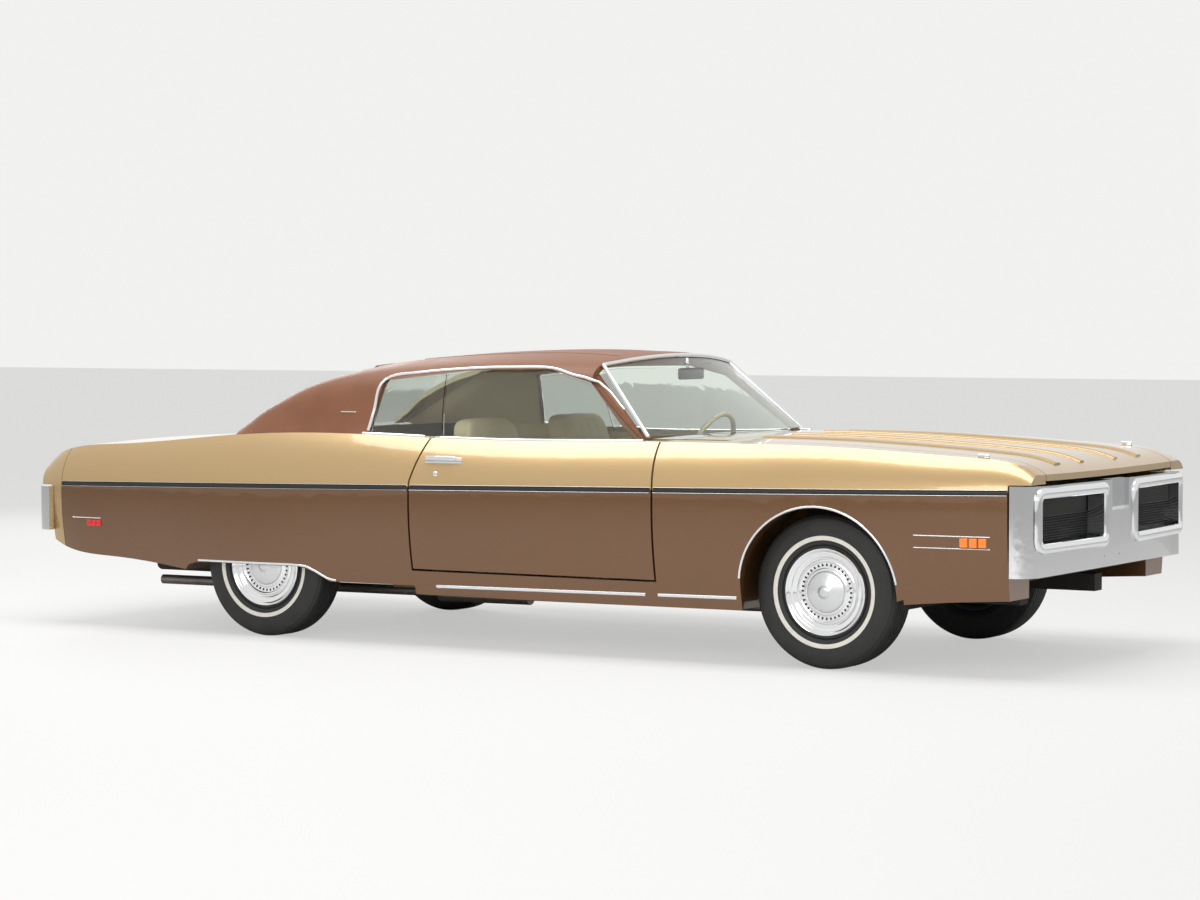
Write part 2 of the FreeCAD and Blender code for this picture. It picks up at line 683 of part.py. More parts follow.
dash_front = firewall - 4.0
dashboard = side_prism(
    [(dash_front, 690), (dash_front, 960), (dash_front - 70, 972), (dash_front - 220, 948), (dash_front - 262, 900),
     (dash_front - 262, 800), (dash_front - 190, 690)],
    -bay_half_width + 6, bay_half_width - 6,
)
keep("dashboard", biggest(dashboard.cut(nodes["cowl"]).cut(windshield)))

driver_y = 370.0
column_tilt = math.radians(24.0)
wheel_centre = V(dash_front - 392, driver_y, 905)
column_axis = V(-math.cos(column_tilt), 0, math.sin(column_tilt))
steering_rim_radius = 194.0
rim_thickness = 13.0
column_end = wheel_centre.sub(V(column_axis).multiply(34))
column_start = wheel_centre.sub(V(column_axis).multiply(420))
column = cylinder(38, column_start, column_end)
shaft_radius = 11.0
column_shaft = cylinder(shaft_radius, column_start, wheel_centre.add(V(column_axis).multiply(12)))
steering_column = fuse_all([column, column_shaft])
keep("steering_column", biggest(steering_column.cut(nodes["dashboard"]).cut(nodes["cowl"])))

rim = Part.makeTorus(steering_rim_radius, rim_thickness, wheel_centre, column_axis)
hub = cylinder(42, wheel_centre.sub(V(column_axis).multiply(28)), wheel_centre.add(V(column_axis).multiply(16)))
spoke = cylinder(9, wheel_centre.add(V(0, -steering_rim_radius, 0)), wheel_centre.add(V(0, steering_rim_radius, 0)))
steering_wheel = fuse_all([rim, spoke, hub])
shaft_bore = cylinder(
    shaft_radius + running_clearance,
    wheel_centre.sub(V(column_axis).multiply(60)), wheel_centre.add(V(column_axis).multiply(13)),
)
keep("steering_wheel", biggest(steering_wheel.cut(shaft_bore)))


def front_seat(y):
    """One high-backed front seat: a cushion, and a back that leans rearwards."""
    half = 232.0
    cushion_front = dash_front - 560.0
    cushion = side_prism(
        [(cushion_front, floor_top), (cushion_front, 500), (cushion_front - 40, 540), (cushion_front - 500, 500),
         (cushion_front - 500, floor_top)],
        y - half, y + half,
    )
    back = side_prism(
        [(cushion_front - 430, 460), (cushion_front - 620, 1060), (cushion_front - 660, 1078),
         (cushion_front - 730, 1050), (cushion_front - 600, 420), (cushion_front - 480, 420)],
        y - half, y + half,
    )
    return fuse_all([cushion, back])


seat_y = 432.0
keep("front_seats", front_seat(seat_y), front_seat(-seat_y))

rear_seat_half = 620.0
rear_seat_front = seat_riser - 4.0
rear_seat = side_prism(
    [(rear_seat_front, 402), (rear_seat_front, 500), (rear_seat_front - 40, 540), (rear_seat_front - 400, 505),
     (seat_back_wall + 60, 905), (seat_back_wall + 6, 930), (seat_back_wall + 6, 570),
     (seat_back_wall + 206, 420)],
    -rear_seat_half, rear_seat_half,
)
keep("rear_seat", biggest(rear_seat.cut(trunk_floor)))

# ---------------------------------------------------------------- engine, driveline, running gear

engine = box(front_axle - 400, front_axle + 360, -260, 260, 300, 840)
gearbox = box(front_axle - 1080, front_axle - 380, -118, 118, 240, 440)
keep("engine_block", fuse_all([engine, gearbox]))

axle_tube = cylinder(40, V(rear_axle_x, -rear_wheel_y + 40, wheel_z), V(rear_axle_x, rear_wheel_y - 40, wheel_z))
axle_shaft = cylinder(
    spindle_radius, V(rear_axle_x, -rear_wheel_y - 30, wheel_z), V(rear_axle_x, rear_wheel_y + 30, wheel_z)
)
differential = Part.makeSphere(135, V(rear_axle_x, 0, wheel_z))
prop_shaft = cylinder(36, V(rear_axle_x + 60, 0, wheel_z), V(front_axle - 1082, 0, wheel_z))
rear_axle = fuse_all([axle_tube, axle_shaft, differential, prop_shaft])
keep("rear_axle", rear_axle)

spring_y = 560.0
spring_half = 30.0
spring_front = rear_axle_x + 600.0
spring_back = rear_axle_x - 720.0
spring_top_edge = Part.Arc(
    V(spring_front, spring_y - spring_half, 330), V(rear_axle_x, spring_y - spring_half, wheel_z - 42),
    V(spring_back, spring_y - spring_half, 380),
).toShape()
spring_low_edge = Part.Arc(
    V(spring_back, spring_y - spring_half, 358), V(rear_axle_x, spring_y - spring_half, wheel_z - 82),
    V(spring_front, spring_y - spring_half, 308),
).toShape()
spring_ends = [
    Part.makeLine(V(spring_back, spring_y - spring_half, 380), V(spring_back, spring_y - spring_half, 358)),
    Part.makeLine(V(spring_front, spring_y - spring_half, 308), V(spring_front, spring_y - spring_half, 330)),
]
spring_face = Part.Face(Part.Wire([spring_top_edge, spring_ends[0], spring_low_edge, spring_ends[1]]))
spring = spring_face.extrude(V(0, 2 * spring_half, 0))
keep("leaf_springs", spring, mirrored(spring))

tank = box(rear_axle_x - 1080, rear_axle_x - 560, -380, 380, 250, boot_floor_top - sheet)
keep("fuel_tank", tank.makeFillet(30, tank.Edges))

exhaust_y = -240.0
exhaust_z = 205.0
muffler_radius = 48.0
pipe = cylinder(24, V(front_axle - 300, exhaust_y, exhaust_z), V(tail + 420, exhaust_y - 160, exhaust_z))
muffler = cylinder(muffler_radius, V(rear_axle_x + 1150, exhaust_y - 40, exhaust_z), V(rear_axle_x + 650, exhaust_y - 70, exhaust_z))
keep("exhaust", fuse_all([pipe, muffler]))

arm_low_z = 262.0
arm_high_z = 430.0
eye_radius = 44.0
eye_height = 24.0
cross_member = box(front_axle - 70, front_axle + 70, -430, 430, 215, 298)
frame_rail = box(front_axle - 620, support_x, 390, 480, 290, 370)
tower = box(front_axle - 60, front_axle + 60, 430, 500, 290, 470)


def control_arm(z, inner_y):
    """A left control arm: a tapered plate with a round eye at the kingpin."""
    low = z - eye_height / 2
    plate = plan_prism(
        [(front_axle - 120, inner_y), (front_axle + 120, inner_y), (front_axle + 30, kingpin_y),
         (front_axle - 30, kingpin_y)],
        low, low + eye_height,
    )
    eye = cylinder(eye_radius, V(front_axle, kingpin_y, low), V(front_axle, kingpin_y, low + eye_height))
    return plate.fuse(eye)


left_side = fuse_all([frame_rail, tower, control_arm(arm_low_z, 500), control_arm(arm_high_z, 470)])
front_suspension = fuse_all([cross_member, left_side, mirrored(left_side)])
for side in (-1, 1):
    bore = cylinder(
        kingpin_radius + running_clearance, V(front_axle, side * kingpin_y, 200), V(front_axle, side * kingpin_y, 500)
    )
    front_suspension = front_suspension.cut(bore)
keep("front_suspension", biggest(front_suspension))

kingpin = cylinder(kingpin_radius, V(front_axle, kingpin_y, arm_low_z - 20), V(front_axle, kingpin_y, arm_high_z + 20))
spindle = cylinder(spindle_radius, V(front_axle, kingpin_y, wheel_z), V(front_axle, front_wheel_y + 30, wheel_z))
knuckle_hub = cylinder(34, V(front_axle, kingpin_y - 20, wheel_z), V(front_axle, kingpin_y + 34, wheel_z))
knuckle = fuse_all([kingpin, knuckle_hub, spindle])
keep("knuckle_left", knuckle)
keep("knuckle_right", mirrored(knuckle))


# ---------------------------------------------------------------- wheels and tyres

def turned(profile, axle_x, centre_y, side):
    """A round piece from (radius, outward) corners, turned about an axle."""
    points = [V(axle_x, centre_y + side * out, wheel_z + radius) for radius, out in profile]
    face = Part.Face(Part.makePolygon(points + points[:1]))
    return face.revolve(V(axle_x, centre_y, wheel_z), V(0, 1, 0), 360)


bore_radius = spindle_radius + running_clearance
disc_out = 30.0
rim_profile = [
    (bore_radius, disc_out - 34), (62, disc_out - 34), (70, disc_out), (rim_radius - 8, disc_out),
    (rim_radius - 8, -rim_half_width), (rim_radius + rim_lip - 6, -rim_half_width - 6),
    (rim_radius + rim_lip, -rim_half_width - 6), (rim_radius + rim_lip, -rim_half_width), (rim_radius, -rim_half_width),
    (rim_radius, rim_half_width), (rim_radius + rim_lip, rim_half_width), (rim_radius + rim_lip, rim_half_width + 6),
    (rim_radius + rim_lip - 6, rim_half_width + 6), (rim_radius - 8, rim_half_width), (rim_radius - 8, disc_out + 8),
    (66, disc_out + 8), (60, disc_out + 20), (bore_radius, disc_out + 20),
]
bead = 0.3
half_tyre = [
    (rim_radius + bead, rim_half_width - bead), (rim_radius + rim_lip + 2, rim_half_width - bead),
    (rim_radius + rim_lip + 8, rim_half_width + 8), (tyre_radius - 108, tyre_half_width - 5),
    (tyre_radius - 80, tyre_half_width), (tyre_radius - 50, tyre_half_width - 3),
    (tyre_radius - 22, tyre_half_width - 12), (tyre_radius - 6, tyre_half_width - 26), (tyre_radius, tyre_half_width - 40),
]
tyre_profile = half_tyre + [(radius, -out) for radius, out in reversed(half_tyre)]
for name, axle_x, wheel_y in (("front", front_axle, front_wheel_y), ("rear", rear_axle_x, rear_wheel_y)):
    for side_name, side in (("left", 1), ("right", -1)):
        keep(name + "_wheel_" + side_name, turned(rim_profile, axle_x, side * wheel_y, side))
        keep(name + "_tyre_" + side_name, turned(tyre_profile, axle_x, side * wheel_y, side))

# ---------------------------------------------------------------- one file per node

os.makedirs("parts", exist_ok=True)
for name, shape in nodes.items():
    shape.exportStep("parts/" + name + ".step")
    corner = shape.BoundBox
    print(
        "%-20s valid %s solids %d volume %.4f m3  x %.0f..%.0f  y %.0f..%.0f  z %.0f..%.0f" % (
            name, shape.isValid(), len(shape.Solids), shape.Volume / 1e9,
            corner.XMin, corner.XMax, corner.YMin, corner.YMax, corner.ZMin, corner.ZMax,
        )
    )
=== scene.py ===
# %% [markdown]
# # A hardtop coupe
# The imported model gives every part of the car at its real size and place. This lesson gives those parts their
# looks: smooth skins, paint, bright trim, white-ringed tyres, padded seats and lamps.

# %% Load the frame
import json
import math

import bmesh
import bpy
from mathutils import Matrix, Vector
from mathutils.bvhtree import BVHTree

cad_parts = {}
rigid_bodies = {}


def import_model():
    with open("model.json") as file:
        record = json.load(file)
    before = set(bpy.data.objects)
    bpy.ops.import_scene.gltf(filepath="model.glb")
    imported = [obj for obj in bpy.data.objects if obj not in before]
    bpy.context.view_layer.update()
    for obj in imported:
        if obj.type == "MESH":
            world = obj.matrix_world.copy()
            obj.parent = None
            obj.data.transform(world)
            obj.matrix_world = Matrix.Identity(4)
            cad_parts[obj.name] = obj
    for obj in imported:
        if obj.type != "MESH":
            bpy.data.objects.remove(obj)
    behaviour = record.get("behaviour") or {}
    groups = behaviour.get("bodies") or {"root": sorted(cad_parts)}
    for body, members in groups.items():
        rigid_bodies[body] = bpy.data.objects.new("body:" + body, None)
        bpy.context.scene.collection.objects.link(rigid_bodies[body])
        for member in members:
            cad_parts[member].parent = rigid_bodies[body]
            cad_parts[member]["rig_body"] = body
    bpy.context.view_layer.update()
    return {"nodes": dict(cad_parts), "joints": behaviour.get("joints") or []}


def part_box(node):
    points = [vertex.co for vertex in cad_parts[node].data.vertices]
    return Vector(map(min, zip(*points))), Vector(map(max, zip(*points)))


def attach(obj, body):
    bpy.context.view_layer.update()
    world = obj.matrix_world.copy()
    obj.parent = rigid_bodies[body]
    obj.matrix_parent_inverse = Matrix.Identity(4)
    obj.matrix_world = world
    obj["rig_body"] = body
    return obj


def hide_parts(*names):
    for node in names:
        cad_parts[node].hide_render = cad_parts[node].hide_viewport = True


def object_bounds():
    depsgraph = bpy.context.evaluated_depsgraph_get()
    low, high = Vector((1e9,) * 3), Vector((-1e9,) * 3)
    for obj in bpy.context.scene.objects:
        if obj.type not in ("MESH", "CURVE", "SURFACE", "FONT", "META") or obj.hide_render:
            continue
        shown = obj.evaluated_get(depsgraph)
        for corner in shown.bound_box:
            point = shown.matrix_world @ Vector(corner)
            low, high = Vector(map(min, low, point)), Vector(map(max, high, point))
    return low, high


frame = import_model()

nodes = frame["nodes"]
joint_of = {joint["name"]: joint for joint in frame["joints"]}
front_wheel_joint = Vector(joint_of["front_wheel_left_spin"]["pos_m"])
rear_wheel_joint = Vector(joint_of["rear_wheel_left_spin"]["pos_m"])
print("parts in the frame:", len(nodes))

# %% [markdown]
# ## Shader maths as Python sums
# A node tree is easier to read as a sum than as a list of links. The class below wraps a socket, and each
# operator adds one Math node.


# %% A socket that can be added and multiplied
class Flow:
    """A node's output that takes part in Python sums."""

    def __init__(self, finish, socket):
        self.finish = finish
        self.socket = socket

    def _sum(self, operation, first, second):
        return self.finish.node("ShaderNodeMath", {"operation": operation}, {0: first, 1: second})

    def __add__(self, other):
        return self._sum("ADD", self, other)

    __radd__ = __add__

    def __mul__(self, other):
        return self._sum("MULTIPLY", self, other)

    __rmul__ = __mul__

    def __sub__(self, other):
        return self._sum("SUBTRACT", self, other)

    def __rsub__(self, other):
        return self._sum("SUBTRACT", other, self)

    def above(self, other):
        return self._sum("GREATER_THAN", self, other)


class Finish:
    """A material whose nodes come from one method."""

    def __init__(self, name, color, roughness, metallic=0.0, **constants):
        self.material = bpy.data.materials.new(name)
        self.material.use_nodes = True
        self.tree = self.material.node_tree
        self.shader = self.tree.nodes["Principled BSDF"]
        self.shader.inputs["Base Color"].default_value = (*color, 1.0)
        self.shader.inputs["Roughness"].default_value = roughness
        self.shader.inputs["Metallic"].default_value = metallic
        for key, value in constants.items():
            self.shader.inputs[key.replace("_", " ")].default_value = value

    def set_input(self, socket, value):
        if isinstance(value, Flow):
            self.tree.links.new(value.socket, socket)
        else:
            socket.default_value = value

    def node(self, kind, settings, inputs, output=0):
        made = self.tree.nodes.new(kind)
        for key, value in settings.items():
            setattr(made, key, value)
        for key, value in inputs.items():
            self.set_input(made.inputs[key], value)
        return Flow(self, made.outputs[output])

    def place(self):
        return self.node("ShaderNodeTexCoord", {}, {}, "Object")

    def noise(self, scale, detail=2.0, stretch=None):
        where = self.place()
        if stretch:
            where = self.node("ShaderNodeMapping", {}, {"Vector": where, "Scale": stretch})
        return self.node("ShaderNodeTexNoise", {}, {"Vector": where, "Scale": scale, "Detail": detail})

    def mix(self, factor, first, second):
        settings = {"data_type": "RGBA"}
        inputs = {0: factor, 6: (*first, 1.0), 7: (*second, 1.0)}
        return self.node("ShaderNodeMix", settings, inputs, 2)

    def feed(self, name, value):
        self.set_input(self.shader.inputs[name], value)

    def bump(self, height, depth, strength=1.0):
        made = self.node("ShaderNodeBump", {}, {"Height": height, "Distance": depth, "Strength": strength})
        self.feed("Normal", made)


# %% [markdown]
# ## The finishes
# Paint of this age is a metallic lacquer: fine bright flakes in a gold base under a clear coat. The car is gold all
# over;
# below the side moulding the flanks are darkened to bronze as painted shade. Each finish has its own grain, so that
# nothing is one flat colour.

# %% Paint and trim
PAINT_GOLD = (0.60, 0.40, 0.175)
# The bronze below the moulding is painted shade: the real car is gold all over.
FLANK_PAINTED_SHADE = (0.20, 0.088, 0.028)
FLAKE_SCALE = 900.0


def make_paint(name, painted_shade_color, high_color, shade_line=None):
    """A metallic lacquer; the last argument is the height, in metres at the nose, below which the first colour stands
    in as painted shade.
    """
    paint = Finish(name, high_color, 0.3, 0.55, Coat_Weight=1.0, Coat_Roughness=0.04)
    flakes = paint.noise(FLAKE_SCALE, 1.0)
    drift = paint.noise(1.4, 2.0)
    paint.feed("Roughness", 0.24 + flakes * 0.16)
    shade = flakes * 0.35 + drift * 0.3
    darker = tuple(c * 0.72 for c in high_color)
    tone = paint.mix(shade, darker, high_color)
    # Under the shade line the colour is painted shade, not a second paint.
    if shade_line:
        where = paint.node("ShaderNodeSeparateXYZ", {}, {0: paint.place()}, 2)
        along = paint.node("ShaderNodeSeparateXYZ", {}, {0: paint.place()}, 0)
        upper = where.above(along * 0.0178 + shade_line)
        painted_shade_tone = paint.mix(shade, tuple(c * 0.72 for c in painted_shade_color), painted_shade_color)
        joined = paint.node("ShaderNodeMix", {"data_type": "RGBA"}, {0: upper, 6: painted_shade_tone, 7: tone}, 2)
        tone = joined
    paint.feed("Base Color", tone)
    return paint.material


# The side panels take the lacquer with painted shade on the lower flanks.
paint_with_flank_shade = make_paint("gold_lacquer_flank_shade", FLANK_PAINTED_SHADE, PAINT_GOLD, 0.766)
paint_top = make_paint("gold_lacquer_top", PAINT_GOLD, PAINT_GOLD)

chrome = Finish("bright_chrome", (0.82, 0.83, 0.84), 0.06, 1.0)
chrome.feed("Roughness", 0.03 + chrome.noise(6.0) * 0.06)
chrome = chrome.material

brushed = Finish("brushed_disc", (0.68, 0.69, 0.70), 0.3, 1.0)
brushed.feed("Roughness", 0.2 + brushed.noise(40.0, 3.0) * 0.2)
brushed = brushed.material

black_trim = Finish("black_moulding", (0.012, 0.012, 0.013), 0.42)
black_trim.feed("Roughness", 0.35 + black_trim.noise(300.0) * 0.2)
black_trim = black_trim.material

satin_black = Finish("satin_black", (0.018, 0.018, 0.02), 0.55)
satin_black.bump(satin_black.noise(420.0), 0.0004)
satin_black = satin_black.material

underbody = Finish("undercoat", (0.022, 0.021, 0.02), 0.8)
underbody.feed("Base Color", underbody.mix(underbody.noise(9.0, 5.0), (0.016, 0.015, 0.014), (0.045, 0.04, 0.034)))
underbody.bump(underbody.noise(160.0, 4.0), 0.0015)
underbody = underbody.material

iron = Finish("dull_iron", (0.05, 0.048, 0.045), 0.6, 0.6)
iron.feed("Base Color", iron.mix(iron.noise(24.0, 5.0), (0.03, 0.028, 0.026), (0.10, 0.085, 0.07)))
iron.bump(iron.noise(220.0, 3.0), 0.0008)
iron = iron.material

pipe_steel = Finish("pipe_steel", (0.25, 0.23, 0.21), 0.45, 0.9)
pipe_steel.feed("Base Color", pipe_steel.mix(pipe_steel.noise(12.0, 4.0), (0.14, 0.11, 0.09), (0.34, 0.32, 0.30)))
pipe_steel = pipe_steel.material

# %% Vinyl, cloth, rubber and glass
def grained(name, dark, light, roughness, scale, depth):
    """A skin of small pebbles, as on roof and seat vinyl."""
    skin = Finish(name, light, roughness)
    cells = skin.node("ShaderNodeTexVoronoi", {}, {"Vector": skin.place(), "Scale": scale})
    cloud = skin.noise(7.0, 4.0)
    skin.feed("Base Color", skin.mix(cloud * 0.7 + cells * 0.3, dark, light))
    skin.feed("Roughness", roughness - 0.1 + cloud * 0.2)
    skin.bump(cells, depth, 0.6)
    return skin.material


roof_vinyl = grained("roof_vinyl", (0.13, 0.045, 0.017), (0.25, 0.095, 0.038), 0.45, 420.0, 0.0006)
seat_vinyl = grained("seat_vinyl", (0.62, 0.50, 0.32), (0.80, 0.70, 0.50), 0.45, 330.0, 0.0004)
headliner = grained("headliner", (0.62, 0.54, 0.38), (0.76, 0.68, 0.50), 0.75, 500.0, 0.0003)
dash_vinyl = grained("dash_vinyl", (0.035, 0.024, 0.015), (0.075, 0.05, 0.03), 0.5, 380.0, 0.0004)
carpet = grained("carpet", (0.10, 0.06, 0.03), (0.22, 0.14, 0.075), 0.95, 700.0, 0.002)
rim_plastic = grained("rim_plastic", (0.66, 0.56, 0.38), (0.78, 0.68, 0.48), 0.28, 60.0, 0.0001)

rubber = Finish("tyre_rubber", (0.014, 0.014, 0.015), 0.62)
rubber.feed("Base Color", rubber.mix(rubber.noise(14.0, 4.0), (0.010, 0.010, 0.010), (0.026, 0.025, 0.024)))
rubber.bump(rubber.noise(500.0), 0.0004)
rubber = rubber.material

white_rubber = Finish("white_ring", (0.80, 0.78, 0.70), 0.5)
white_rubber.feed("Base Color", white_rubber.mix(white_rubber.noise(30.0, 4.0), (0.70, 0.67, 0.58), (0.86, 0.84, 0.77)))
white_rubber = white_rubber.material

glass = Finish("clear_glass", (0.90, 0.95, 0.90), 0.0, 0.0, Transmission_Weight=1.0, IOR=1.45)
glass.feed("Roughness", glass.noise(3.0) * 0.02)
glass = glass.material


def lens(name, color):
    """A ribbed plastic lamp lens with some glow of its own."""
    made = Finish(name, color, 0.12, 0.0, Coat_Weight=0.6, Emission_Strength=0.25)
    made.feed("Emission Color", made.mix(made.noise(60.0), color, tuple(min(1.0, c * 1.4) for c in color)))
    return made.material


amber_lens = lens("amber_lens", (0.85, 0.20, 0.02))
red_lens = lens("red_lens", (0.55, 0.012, 0.008))
# This finish goes only on the rear plate, which is no lamp: its glow is painted light.
glowing_plate_finish = lens("glowing_plate_finish", (0.80, 0.80, 0.76))
print("finishes:", len(bpy.data.materials))

# %% [markdown]
# ## Smooth skins from the frame
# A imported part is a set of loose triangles. A copy with its corners merged can be shaded smooth, with real edges
# kept sharp by their angle. The copy stands for the part and rides on the same body.

# %% Copy the parts that show
SHARP = math.radians(28.0)


def link(name, work, material, body):
    """Turns a bmesh into a piece that rides on a body."""
    mesh = bpy.data.meshes.new(name)
    work.to_mesh(mesh)
    work.free()
    piece = bpy.data.objects.new(name, mesh)
    bpy.context.scene.collection.objects.link(piece)
    for item in material if isinstance(material, (list, tuple)) else [material]:
        mesh.materials.append(item)
    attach(piece, body)
    return piece


def shade(work, sharp=SHARP):
    """Smooth faces, with edges over the angle kept sharp."""
    for face in work.faces:
        face.smooth = True
    for edge in work.edges:
        edge.smooth = len(edge.link_faces) == 2 and edge.calc_face_angle(0.0) < sharp


def skin_of(node, material):
    """A smooth copy of a part."""
    work = bmesh.new()
    work.from_mesh(nodes[node].data)
    bmesh.ops.remove_doubles(work, verts=work.verts, dist=0.00004)
    shade(work)
    piece = link(node + "_skin", work, material, nodes[node]["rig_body"])
    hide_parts(node)
    return piece


SIDES = ("left", "right")
skins = {}
for side in SIDES:
    for stem in ("front_fender_", "quarter_panel_", "door_"):
        skins[stem + side] = skin_of(stem + side, paint_with_flank_shade)
    skins["door_glass_" + side] = skin_of("door_glass_" + side, glass)
for node in ("hood", "trunk_lid", "cowl", "tail_panel"):
    skins[node] = skin_of(node, paint_top)
skins["rocker_panels"] = skin_of("rocker_panels", paint_with_flank_shade)
skins["roof"] = skin_of("roof", roof_vinyl)
for node in ("windshield", "rear_window", "quarter_windows"):
    skins[node] = skin_of(node, glass)
for node, material, slot in (
    ("front_bumper", chrome, "chrome"), ("rear_bumper", chrome, "chrome"), ("grille", satin_black, "black_plastic"),
    ("radiator_support", satin_black, "black_plastic"), ("floor_pan", carpet, "underbody"),
    ("trunk_floor", underbody, "underbody"), ("rear_shelf", dash_vinyl, "underbody"),
    ("fuel_tank", underbody, "underbody"), ("dashboard", dash_vinyl, "dash_plastic"),
    ("steering_column", dash_vinyl, "dash_plastic"), ("engine_block", iron, "iron"), ("rear_axle", iron, "iron"),
    ("leaf_springs", iron, "iron"), ("front_suspension", underbody, "iron"), ("exhaust", pipe_steel, "pipe_steel"),
    ("steering_wheel", rim_plastic, "rim_plastic"), ("knuckle_left", iron, "iron"), ("knuckle_right", iron, "iron"),
):
    skins[node] = skin_of(node, material)
print("skins:", len(skins))

# %% [markdown]
# ## Finding a place on the skin
# Trim follows the body. A ray cast at a panel gives the point and the direction that the panel faces there, so
# the trim lies on the skin whatever its shape.

# %% Rays and sweeps
trees = {}


def tree_of(node):
    """The search tree of one part's surface."""
    if node not in trees:
        mesh = nodes[node].data
        corners = [v.co for v in mesh.vertices]
        faces = [tuple(p.vertices) for p in mesh.polygons]
        trees[node] = BVHTree.FromPolygons(corners, faces)
    return trees[node]


def hit(node, start, direction):
    """The first point and outward direction of a part along a ray, or None."""
    point, normal, _, _ = tree_of(node).ray_cast(Vector(start), Vector(direction))
    if point is None:
        return None
    if normal.dot(Vector(direction)) > 0:
        normal = -normal
    return point, normal


def on_side(node, x, z, sign):
    """A place on the outside of a side panel."""
    return hit(node, (x, sign * 2.0, z), (0, -sign, 0))


def sweep(name, path, outline, material, body, closed=False):
    """Carries a small closed outline of (outward, across) corners along a path of points and directions."""
    work = bmesh.new()
    rings = []
    count = len(path)
    for i, (point, outward) in enumerate(path):
        after = path[(i + 1) % count] if closed else path[min(i + 1, count - 1)]
        before = path[i - 1] if closed else path[max(i - 1, 0)]
        along = (after[0] - before[0]).normalized()
        out = (outward - along * outward.dot(along)).normalized()
        across = out.cross(along)
        corners = [work.verts.new(point + out * a + across * b) for a, b in outline]
        rings.append([work.edges.new((corners[j - 1], corners[j])) for j in range(len(corners))])
    pairs = list(zip(rings, rings[1:]))
    if closed:
        pairs.append((rings[-1], rings[0]))
    for first, second in pairs:
        bmesh.ops.bridge_loops(work, edges=first + second)
    if not closed:
        bmesh.ops.contextual_create(work, geom=rings[0])
        bmesh.ops.contextual_create(work, geom=rings[-1])
    bmesh.ops.recalc_face_normals(work, faces=work.faces)
    shade(work, math.radians(40.0))
    return link(name, work, material, body)


def half_round(width, height, sink=0.001, steps=6):
    """The outline of a bright moulding: flat on the skin, rounded outside."""
    arc = [
        (height * math.sin(math.pi * k / steps), width / 2 * math.cos(math.pi * k / steps)) for k in range(steps + 1)
    ]
    return [(-sink, width / 2)] + arc[1:-1] + [(-sink, -width / 2)]


def side_path(node, x0, x1, height_at, sign, steps=40):
    """A path along a side panel at a height that depends on x."""
    path = []
    for k in range(steps + 1):
        x = x0 + (x1 - x0) * k / steps
        found = on_side(node, x, height_at(x), sign)
        if found and abs(found[0].y) > 0.6:
            path.append(found)
    return path


# %% [markdown]
# ## The side moulding
# A black strip between two bright edges runs along the widest line of the body. It's cut at each door gap, and
# each length rides on the panel behind it.

# %% Lay the side moulding
MOULDING_RISE = 0.0178
MOULDING_LEVEL = 0.764


def moulding_height(x):
    """The height of the moulding at x."""
    return MOULDING_LEVEL + MOULDING_RISE * x


def span(node):
    """The lowest and highest x of a part."""
    low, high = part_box(node)
    return low[0], high[0]


trim_inset = 0.004
for side, sign in (("left", 1), ("right", -1)):
    for stem, nose_cut in (("front_fender_", 0.012), ("door_", trim_inset), ("quarter_panel_", trim_inset)):
        node = stem + side
        x0, x1 = span(node)
        if stem == "front_fender_":
            x0 = span("door_" + side)[1] + 0.010
        if stem == "quarter_panel_":
            x1 = span("door_" + side)[0] - 0.010
        path = side_path(node, x0 + trim_inset, x1 - nose_cut, moulding_height, sign)
        body = nodes[node]["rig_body"]
        strip = sweep("side_strip_" + stem + side, path, half_round(0.019, 0.006), black_trim, body)
        for edge_name, lift in (("upper", 0.0112), ("lower", -0.0112)):
            edge_path = side_path(node, x0 + trim_inset, x1 - nose_cut, lambda x: moulding_height(x) + lift, sign)
            edge = sweep("side_strip_%s_edge_%s%s" % (edge_name, stem, side), edge_path, half_round(0.0045, 0.0075), chrome, body)
print("side mouldings laid")

# %% [markdown]
# ## Tyres and wheels
# A tyre is one profile spun about its axle: tread ribs, shoulder, sidewall and bead. The narrow white ring is the
# part of the sidewall between two of the profile's corners.

# %% Spin a tyre
SPIN_STEPS = 96
WHITE_INNER = 0.231
WHITE_OUTER = 0.2505

outer_sidewall = [
    (0.1925, 0.078), (0.207, 0.080), (0.213, 0.089), (0.228, 0.0955), (WHITE_INNER, 0.0975), (WHITE_OUTER, 0.1005),
    (0.2535, 0.0995), (0.275, 0.102), (0.297, 0.099), (0.318, 0.093), (0.327, 0.089), (0.329, 0.0855), (0.339, 0.078),
]
tread_half = [
    (0.3435, 0.066), (0.3445, 0.052), (0.336, 0.050), (0.336, 0.045), (0.345, 0.043), (0.345, 0.028), (0.336, 0.026),
    (0.336, 0.021), (0.345, 0.019), (0.345, 0.004), (0.337, 0.002),
]


def spun(name, profile, centre, sign, material, body, sharp=SHARP, close=True):
    """Spins (radius, outward) corners about a wheel's axle."""
    work = bmesh.new()
    corners = [work.verts.new(Vector((centre.x, centre.y + sign * out, centre.z + r))) for r, out in profile]
    edges = [work.edges.new(pair) for pair in zip(corners, corners[1:])]
    if close:
        edges.append(work.edges.new((corners[-1], corners[0])))
    bmesh.ops.spin(
        work, geom=corners + edges, cent=centre, axis=(0, 1, 0), angle=math.tau, steps=SPIN_STEPS, use_merge=True,
    )
    bmesh.ops.remove_doubles(work, verts=work.verts, dist=0.00005)
    bmesh.ops.recalc_face_normals(work, faces=work.faces)
    shade(work, sharp)
    return link(name, work, material, body)


def wheel_at(end, side):
    """A wheel's centre and the side that it faces."""
    centre = Vector(joint_of["%s_wheel_%s_spin" % (end, side)]["pos_m"])
    return centre, 1 if side == "left" else -1


def paint_ring(piece, centre, sign):
    """Gives the white ring's faces the second material."""
    for face in piece.data.polygons:
        middle = face.center - centre
        radius = math.hypot(middle.x, middle.z)
        if WHITE_INNER < radius < WHITE_OUTER and middle.y * sign > 0:
            face.material_index = 1


